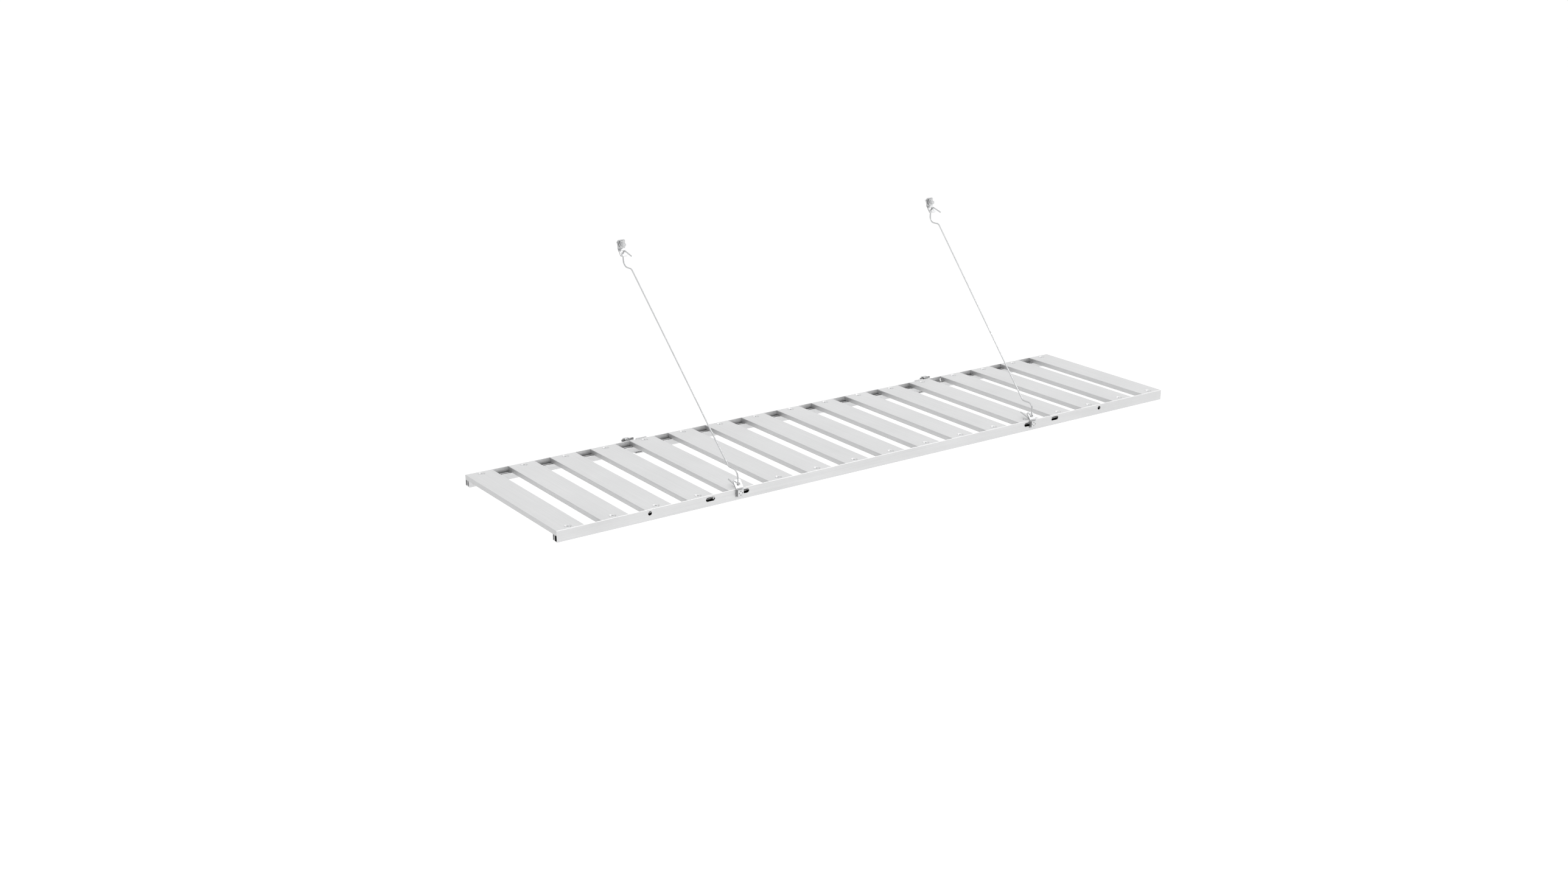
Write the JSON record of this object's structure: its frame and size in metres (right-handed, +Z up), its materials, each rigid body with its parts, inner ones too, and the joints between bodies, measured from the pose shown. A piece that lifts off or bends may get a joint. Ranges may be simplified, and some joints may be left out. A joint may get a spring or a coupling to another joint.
{
  "type": "wall-hung slatted rack",
  "caption": "Long slatted metal shelf rack, held to a wall by bolted rear brackets and by bent wire hangers that hook from wall plates to clips on the front rail.",
  "frame": {"origin": "on the wall plane, midway between the left and right wall bolts, level with the top of the slats", "axes": "+X to the right along the wall seen from the front, +Y from the room into the wall, +Z up; the front rail faces -Y"},
  "size_m": [1.2, 0.3113, 0.3456],
  "materials": {
    "slat_aluminium": "satin extruded, lines along the slat",
    "rail_aluminium": "satin extruded, lines along the rail",
    "bracket_aluminium": "satin mill",
    "plate_steel": "bright zinc plated",
    "wire_steel": "bright zinc plated wire",
    "fastener_steel": "zinc plated",
    "screw_steel": "zinc plated, darker recesses"
  },
  "bodies": {
    "rack": {"slat_01": "slat_aluminium", "slat_02": "slat_aluminium", "slat_03": "slat_aluminium", "slat_04": "slat_aluminium", "slat_05": "slat_aluminium", "slat_06": "slat_aluminium", "slat_07": "slat_aluminium", "slat_08": "slat_aluminium", "slat_09": "slat_aluminium", "slat_10": "slat_aluminium", "slat_11": "slat_aluminium", "slat_12": "slat_aluminium", "slat_13": "slat_aluminium", "slat_14": "slat_aluminium", "slat_15": "slat_aluminium", "slat_16": "slat_aluminium", "slat_17": "slat_aluminium", "front_rail": "rail_aluminium", "rear_rail": "rail_aluminium", "slat_screws_front": "screw_steel", "slat_screws_rear": "screw_steel", "hanger_clip_left": "plate_steel", "hanger_clip_right": "plate_steel", "clip_bolt_left": "fastener_steel", "clip_bolt_right": "fastener_steel", "clip_nut_left": "fastener_steel", "clip_nut_right": "fastener_steel", "anchor_plate_left": "plate_steel", "anchor_plate_right": "plate_steel", "anchor_bolt_left": "fastener_steel", "anchor_bolt_right": "fastener_steel", "anchor_nut_left": "fastener_steel", "anchor_nut_right": "fastener_steel", "rear_bracket_left": "bracket_aluminium", "rear_bracket_right": "bracket_aluminium", "bracket_bolt_left": "fastener_steel", "bracket_bolt_right": "fastener_steel", "bracket_nut_left": "fastener_steel", "bracket_nut_right": "fastener_steel", "tab_bolt_left": "fastener_steel", "tab_bolt_right": "fastener_steel", "tab_nut_left": "fastener_steel", "tab_nut_right": "fastener_steel"},
    "hanger_left": {"hanger_rod_left": "wire_steel"},
    "hanger_right": {"hanger_rod_right": "wire_steel"}
  },
  "joints": [
    {"name": "hanger_left_swivel", "type": "hinge", "parent": "rack", "child": "hanger_left", "pos_m": [-0.2941, -0.29826, 0.00607], "axis": [-0.0395, 0.6981, 0.7149], "range_deg": [-30, 30]},
    {"name": "hanger_right_swivel", "type": "hinge", "parent": "rack", "child": "hanger_right", "pos_m": [0.2941, -0.29826, 0.00607], "axis": [-0.0395, -0.6981, -0.7149], "range_deg": [-30, 30]}
  ]
}
